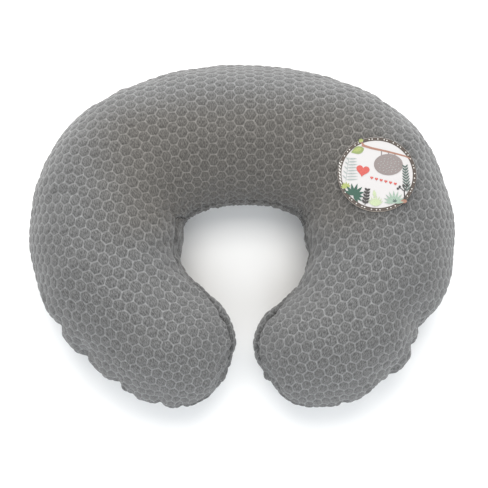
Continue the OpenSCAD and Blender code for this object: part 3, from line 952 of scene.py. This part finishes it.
def build_zipper():
    tape, nylon, metal = tape_material(), nylon_material(), metal_material()
    for sign in (1, -1):
        build_tape(sign, tape)
        build_coil(sign, nylon)
    for name in ("zipper_slider", "zipper_pull_tab", "zipper_top_stops", "zipper_bottom_stop"):
        dress(name, metal)


def dress(name, material):
    """A CAD node keeps its shape and gets a finish."""
    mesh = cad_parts[name].data
    mesh.materials.clear()
    mesh.materials.append(material)


build_zipper()


# ---------------- labels
def label_object(name, s_range, angles, lift, curl, follow, material):
    """A blank cloth label on the left side of the roll, with turned hems and a line of stitches."""
    columns, rows = 48, 64
    u = np.linspace(0, 1, columns)[None, :]
    v = np.linspace(0, 1, rows)[:, None]
    t = -mix(*s_range, u) + 0 * v
    angle = mix(*angles, v) + 0 * u
    base = roll(t, angle)
    normal = np.cross(np.gradient(base, axis=1), np.gradient(base, axis=0))
    normal /= np.linalg.norm(normal, axis=-1, keepdims=True)
    normal *= np.sign((normal * (base - roll(t, angle, 0.01))).sum(-1, keepdims=True))
    across = np.linalg.norm(base[0, -1] - base[0, 0])
    down = np.linalg.norm(np.diff(base[:, 0], axis=0), axis=-1).sum()
    x, y = u * across, v * down
    from_edge = np.minimum(np.minimum(x, across - x), np.minimum(y + 0.004, down - y))
    hem = 0.00018 * ease((0.003 - from_edge) / 0.0004)
    stitches = -0.0001 * bump(from_edge, 0.0024, 0.0002) * (np.sin((x + y) * 2 * math.pi / 0.0022) > -0.3)
    wave = curl * v**2 * (0.6 + 0.4 * np.cos(u * math.pi * 1.5 + 0.6))
    swell = outline_shift(t, angle, y) + low_waves(base)
    points = base + normal * (lift + hem + stitches + wave + follow * np.maximum(swell, 0))[..., None]
    place = np.stack(np.broadcast_arrays(x, y), -1)
    obj = grid_object(name, points, True, None, place, material)
    thick = obj.modifiers.new("thickness", "SOLIDIFY")
    thick.thickness, thick.offset = 0.00025, 0
    stands_on_back(obj, name.replace("_cloth", ""))


def build_labels():
    satin = woven_material("label_cloth", 0.42, 0.0007, 0.006)
    care_s = (BACK_LEN + 0.025, BACK_LEN + 0.055)
    label_object("care_label_cloth", care_s, np.radians([-1, -32]), 0.0026, 0.0015, 1, satin)
    law_s = (BACK_LEN * 2 / 8, BACK_LEN * 7 / 8)
    law_angles = (-math.pi * 11 / 14, -math.pi * 13 / 14)
    label_object("law_label_cloth", law_s, law_angles, -0.0027, 0.0, 0, satin)


build_labels()


# ---------------- round card
CARD_S, CARD_ANGLE = BACK_LEN + 0.091, math.radians(91)
CARD_R = 0.046
CARD_STACK = 0.0003 + 0.0012 + 0.0018 + 0.0004
# Each printed shape lies a hair above the one before it
LAYER_T = 0.000018


def card_frame():
    """Middle of the card's face, and its right, up and normal directions."""
    a, b, h = (float(f(np.array(CARD_S))) for f in (half_width, half_height, turn))
    tilt = math.atan2(math.cos(CARD_ANGLE) / a, math.sin(CARD_ANGLE) / b)
    facing = math.pi / 2 - h
    normal = Vector((math.sin(tilt) * math.cos(facing), math.sin(tilt) * math.sin(facing), math.cos(tilt)))
    right = Vector((0, 1, 0)).cross(normal).normalized()
    contact = Vector(roll(np.array(CARD_S), np.array(CARD_ANGLE)).tolist())
    return contact + normal * CARD_STACK, right, normal.cross(right), normal


CARD_MIDDLE, CARD_RIGHT, CARD_UP, CARD_NORMAL = card_frame()


def paper_material():
    """Uncoated printed paper: faint fibres, a little darker to the rim."""
    s = Shader("card_print", 0.55)
    place = s.object_place()
    offset = s.add("VectorMath", place, tuple(CARD_MIDDLE), operation="SUBTRACT")
    far = s.add("VectorMath", offset, operation="LENGTH", out=1)
    fibres = s.noise(place, 1800.0, 4.0, 0.7)
    clouds = s.noise(place, 60.0, 2.0)
    face = s.mix(fibres, (0.44, 0.425, 0.425, 1), (0.51, 0.495, 0.495, 1))
    face = s.mix(s.times(clouds, 0.12), face, (0.41, 0.385, 0.37, 1))
    s.paint(s.times(s.between(far, CARD_R * 0.8, CARD_R), 0.25), face, (0.35, 0.325, 0.30, 1))
    s.emboss(fibres, 0.00004, 0.5)
    return s.material


def ink_material(name, colour):
    """Printed ink: the tone varies as the paper takes it."""
    s = Shader("ink_" + name, 0.5)
    place = s.object_place()
    grain = s.noise(place, 1500.0, 3.0, 0.7)
    dark = tuple(c * 0.8 for c in colour) + (1,)
    pale = tuple(min(1, c * 1.2 + 0.004) for c in colour) + (1,)
    s.paint(s.between(grain, 0.3, 0.7), dark, pale)
    s.emboss(grain, 0.00003, 0.4)
    return s.material


def board_material():
    """Cut edge of pressed board: thin layers."""
    s = Shader("card_stock", 0.85)
    place = s.object_place()
    layers = s.noise(s.add("Mapping", place, None, None, (60.0, 60.0, 6000.0)), 1.0, 3.0)
    s.paint(s.between(layers, 0.35, 0.65), (0.30, 0.24, 0.19, 1), (0.48, 0.42, 0.36, 1))
    s.emboss(layers, 0.0001, 0.6)
    return s.material


def hook_material():
    """Hook tape: rows of small black hooks."""
    s = Shader("hook_pad", 0.5)
    place = s.object_place()
    dots = s.add("TexVoronoi", place, None, 900.0)
    s.paint(s.between(dots, 0.1, 0.5), grey(0.09), grey(0.02))
    s.emboss(dots, 0.0004, 0.8)
    return s.material


INKS = {
    "border": (0.045, 0.030, 0.022),
    "white": (0.50, 0.485, 0.46),
    "branch": (0.26, 0.125, 0.085),
    "leaf": (0.185, 0.235, 0.075),
    "lime": (0.26, 0.30, 0.09),
    "mist": (0.27, 0.30, 0.29),
    "coral": (0.42, 0.060, 0.048),
    "taupe": (0.185, 0.155, 0.15),
    "fern": (0.045, 0.075, 0.065),
    "palm": (0.006, 0.055, 0.034),
    "black": (0.018, 0.015, 0.015),
    "pale": (0.36, 0.42, 0.26),
    "sage": (0.22, 0.30, 0.24),
}


class Print:
    """Flat shapes printed on the card, in units of its radius, x to the right and y up."""

    def __init__(self):
        self.verts, self.faces, self.inks = [], [], []
        self.layer = 1

    def place(self, x, y):
        return CARD_MIDDLE + CARD_NORMAL * (LAYER_T * self.layer) + (CARD_RIGHT * x + CARD_UP * y) * CARD_R

    def shape(self, ink, outline):
        start = len(self.verts)
        self.verts += [self.place(x, y) for x, y in outline]
        self.faces.append(tuple(range(start, start + len(outline))))
        self.inks.append(list(INKS).index(ink))
        self.layer += 0.12

    def disc(self, ink, x, y, radius, squash=1.0, sides=20):
        angles = [2 * math.pi * k / sides for k in range(sides)]
        self.shape(ink, [(x + radius * math.cos(a), y + radius * squash * math.sin(a)) for a in angles])

    def leaf(self, ink, x, y, way, length, width, steps=9):
        """A pointed leaf from (x, y), its way in degrees."""
        c, s = math.cos(math.radians(way)), math.sin(math.radians(way))
        sides = []
        for sign, order in ((1, range(steps + 1)), (-1, range(steps - 1, 0, -1))):
            for k in order:
                f = k / steps
                half = sign * width / 2 * math.sin(math.pi * f**0.8)
                sides.append((x + c * length * f - s * half, y + s * length * f + c * half))
        self.shape(ink, sides)

    def stem(self, ink, points, width, end_width=None):
        """A tapering line through points."""
        end_width = width if end_width is None else end_width
        ways = np.gradient(np.array(points, float), axis=0)
        ways /= np.linalg.norm(ways, axis=1, keepdims=True)
        widths = np.linspace(width, end_width, len(points)) / 2
        left = [(x - w[1] * k, y + w[0] * k) for (x, y), w, k in zip(points, ways, widths)]
        right = [(x + w[1] * k, y - w[0] * k) for (x, y), w, k in zip(points, ways, widths)]
        self.shape(ink, left + right[::-1])

    def fern(self, ink, foot, tip, pairs, length, width, sides=(1, -1), slant=50):
        """A stem with leaflets on one or both sides."""
        (x0, y0), (x1, y1) = foot, tip
        way = math.degrees(math.atan2(y1 - y0, x1 - x0))
        self.stem(ink, [foot, tip], width * 0.35)
        for k in range(pairs):
            f = (k + 0.5) / pairs
            x, y, reach = mix(x0, x1, f), mix(y0, y1, f), length * (1 - 0.35 * f)
            for side in sides:
                self.leaf(ink, x, y, way + side * slant, reach, width)

    def fan(self, ink, x, y, first, last, count, length, width):
        """Leaves that spread from one point."""
        for k in range(count):
            way = mix(first, last, k / (count - 1))
            reach = length * (0.8 + 0.2 * math.sin(math.pi * k / (count - 1)))
            self.leaf(ink, x, y, way, reach, width)

    def heart(self, ink, x, y, size, way=0.0):
        angles = [2 * math.pi * k / 40 for k in range(40)]
        c, s = math.cos(math.radians(way)), math.sin(math.radians(way))
        outline = []
        for a in angles:
            hx = math.sin(a) ** 3
            hy = (13 * math.cos(a) - 5 * math.cos(2 * a) - 2 * math.cos(3 * a) - math.cos(4 * a)) / 16
            outline.append((x + size * (hx * c - hy * s), y + size * (hx * s + hy * c)))
        self.shape(ink, outline[::-1])

    def ring(self, ink, inner, outer, sides=120):
        start = len(self.verts)
        for k in range(sides):
            a = 2 * math.pi * k / sides
            self.verts += [self.place(r * math.cos(a), r * math.sin(a)) for r in (inner, outer)]
            here, beyond = start + 2 * k, start + 2 * ((k + 1) % sides)
            self.faces.append((here, here + 1, beyond + 1, beyond))
        self.inks += [list(INKS).index(ink)] * sides
        self.layer += 1

    def build(self, name):
        mesh = bpy.data.meshes.new(name)
        mesh.from_pydata([tuple(v) for v in self.verts], [], self.faces)
        for ink, colour in INKS.items():
            mesh.materials.append(ink_material(ink, colour))
        mesh.polygons.foreach_set("material_index", self.inks)
        mesh.update()
        obj = add_object(name, mesh)
        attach(obj, "card")


def print_card():
    """A plain botanical picture: leaves round the rim, a branch, a woven nest and a heart."""
    p = Print()
    p.ring("border", 0.905, 0.998)
    for k in range(46):
        a = 2 * math.pi * (k + 0.25 * math.sin(k * 2.3)) / 46
        p.disc("white", 0.955 * math.cos(a), 0.955 * math.sin(a), 0.017, sides=10)
    for k in range(7):
        y = 0.34 - 0.085 * k
        p.leaf("white", -0.975 + 0.02 * abs(3 - k) * 0.3, y, -58, 0.10, 0.035)
    p.fern("mist", (-0.80, -0.18), (-0.70, 0.46), 8, 0.32, 0.045, sides=(-1,), slant=80)
    p.fern("mist", (-0.80, -0.18), (-0.70, 0.46), 5, 0.15, 0.04, sides=(1,), slant=50)
    branch = [(-0.36, 0.79), (-0.10, 0.70), (0.23, 0.62), (0.55, 0.53), (0.74, 0.47), (0.86, 0.40)]
    p.stem("branch", branch, 0.065, 0.03)
    p.stem("branch", [(-0.30, 0.78), (-0.36, 0.86), (-0.40, 0.90)], 0.05, 0.03)
    p.leaf("leaf", -0.30, 0.70, 197, 0.36, 0.21)
    p.leaf("lime", -0.36, 0.70, 197, 0.24, 0.10)
    p.fan("lime", -0.36, 0.88, 60, 170, 4, 0.10, 0.05)
    for x in (0.12, 0.30, 0.46):
        p.stem("taupe", [(x, 0.36), (x + 0.02, 0.66 - 0.28 * x)], 0.03)
    p.disc("taupe", 0.30, 0.25, 0.37, 0.78, sides=40)
    for k in range(34):
        spread, a = math.sqrt((k + 0.5) / 34) * 0.30, k * 2.4
        x, y = 0.30 + spread * math.cos(a), 0.22 + 0.72 * spread * math.sin(a)
        p.leaf("mist", x, y, 15 + 8 * k % 40, 0.045, 0.014)
    p.heart("coral", -0.36, 0.10, 0.17, -12)
    for k in range(6):
        p.heart("coral", -0.14 + 0.118 * k, -0.10 - 0.034 * k, 0.042, -12)
    p.fern("fern", (0.74, -0.50), (0.72, 0.20), 9, 0.17, 0.042, slant=42)
    p.stem("black", [(0.67, -0.66), (0.67, -0.48), (0.60, -0.40), (0.52, -0.38)], 0.035, 0.012)
    p.stem("black", [(0.67, -0.50), (0.68, -0.42), (0.66, -0.34)], 0.02, 0.012)
    p.stem("black", [(0.67, -0.50), (0.71, -0.42), (0.75, -0.34)], 0.02, 0.012)
    for x, y in ((0.51, -0.40), (0.56, -0.35), (0.655, -0.32), (0.745, -0.315)):
        p.disc("black", x, y, 0.032)
    p.disc("branch", 0.64, -0.74, 0.085, 0.6)
    p.fan("lime", -0.80, -0.36, 30, 170, 6, 0.17, 0.06)
    p.fan("palm", -0.62, -0.56, -10, 150, 7, 0.33, 0.085)
    p.fan("palm", -0.62, -0.56, -60, -14, 3, 0.27, 0.075)
    p.fern("black", (-0.34, -0.82), (-0.26, -0.40), 5, 0.14, 0.065, slant=48)
    p.fan("pale", -0.07, -0.86, 35, 145, 8, 0.30, 0.05)
    p.leaf("pale", -0.08, -0.62, 95, 0.20, 0.09)
    p.fan("sage", 0.40, -0.78, 5, 175, 9, 0.33, 0.06)
    p.fan("fern", 0.42, -0.76, 40, 150, 4, 0.10, 0.03)
    p.build("card_picture")


def build_card():
    dress("card_face", paper_material())
    dress("card_board", board_material())
    dress("card_hook_pad", hook_material())
    print_card()


build_card()


# ---------------- room
FLOOR_REACH, FLOOR_GAP = 8.0, 0.0004
WORLD_STRENGTH = 0.58
# Place, width and height, power and tint of each lamp. All face the pillow
SOFTBOXES = {
    "softbox_back": ((-0.1, 2.2, 1.0), (2.4, 0.8), 66, (0.98, 1.0, 1.01)),
    "softbox_over": ((0.0, 0.35, 2.0), (1.4, 1.0), 21, (1.0, 0.97, 0.92)),
    "softbox_front": ((0.15, -1.4, 1.9), (1.8, 1.0), 26, (0.95, 1.0, 1.04)),
    "softbox_low": ((0.1, -2.2, 0.8), (2.4, 0.8), 14, (0.93, 1.0, 1.06)),
}


def add_floor():
    s = Shader("floor", 0.7)
    s.put("Base Color", grey(0.92))
    mesh = bpy.data.meshes.new("floor")
    corners = [(x * FLOOR_REACH, y * FLOOR_REACH, 0) for x, y in ((-1, -1), (1, -1), (1, 1), (-1, 1))]
    mesh.from_pydata(corners, [], [(0, 1, 2, 3)])
    mesh.materials.append(s.material)
    floor = add_object("floor", mesh)
    floor.location.z = -FLOOR_GAP


def add_light(name, place, size, power, tint):
    data = bpy.data.lights.new(name, "AREA")
    data.shape = "RECTANGLE"
    data.size, data.size_y = size
    data.energy = power
    data.color = tint
    light = add_object(name, data)
    light.location = place
    light.rotation_euler = Vector(place).to_track_quat("Z", "Y").to_euler()


def add_world():
    world = bpy.data.worlds.new("studio")
    world.use_nodes = True
    background = world.node_tree.nodes["Background"]
    background.inputs["Color"].default_value = (1, 1, 1, 1)
    background.inputs["Strength"].default_value = WORLD_STRENGTH
    bpy.context.scene.world = world


add_floor()
add_world()
for name, settings in SOFTBOXES.items():
    add_light(name, *settings)
